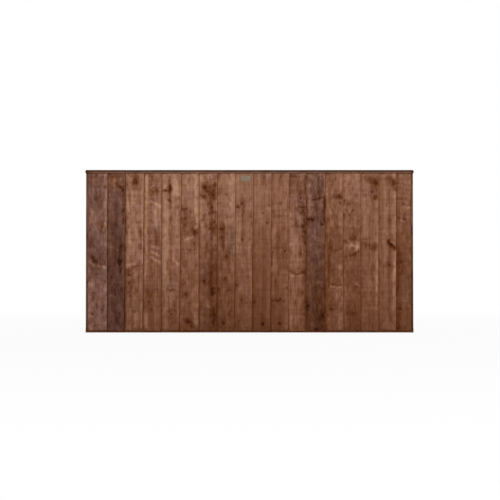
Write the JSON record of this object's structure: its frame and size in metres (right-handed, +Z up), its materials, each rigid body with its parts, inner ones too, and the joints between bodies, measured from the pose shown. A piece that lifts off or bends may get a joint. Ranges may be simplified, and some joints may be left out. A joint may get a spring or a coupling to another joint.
{
  "type": "closeboard fence panel",
  "caption": "Low closeboard fence panel: lapped tapered timber boards nailed to back rails between end battens, under a weathered capping rail and on a base rail.",
  "frame": {"origin": "centre of the left end batten's outer face, which meets the post", "axes": "+X along the panel from left to right as seen from its boarded front, +Y to the back, +Z up"},
  "size_m": [1.829, 0.058, 0.908],
  "materials": {
    "boards": "rough sawn, brown dip stain",
    "capping": "rough sawn, brown dip stain",
    "framing": "rough sawn, brown dip stain",
    "tag": "thin dull film, unprinted"
  },
  "bodies": {
    "root": {"capping_rail": "capping", "base_rail": "framing", "left_end_batten": "framing", "right_end_batten": "framing", "top_rail": "framing", "middle_rail": "framing", "bottom_rail": "framing", "board_01": "boards", "board_02": "boards", "board_03": "boards", "board_04": "boards", "board_05": "boards", "board_06": "boards", "board_07": "boards", "board_08": "boards", "board_09": "boards", "board_10": "boards", "board_11": "boards", "board_12": "boards", "board_13": "boards", "board_14": "boards", "board_15": "boards", "board_16": "boards", "board_17": "boards", "board_18": "boards", "blank_tag": "tag"}
  },
  "joints": []
}
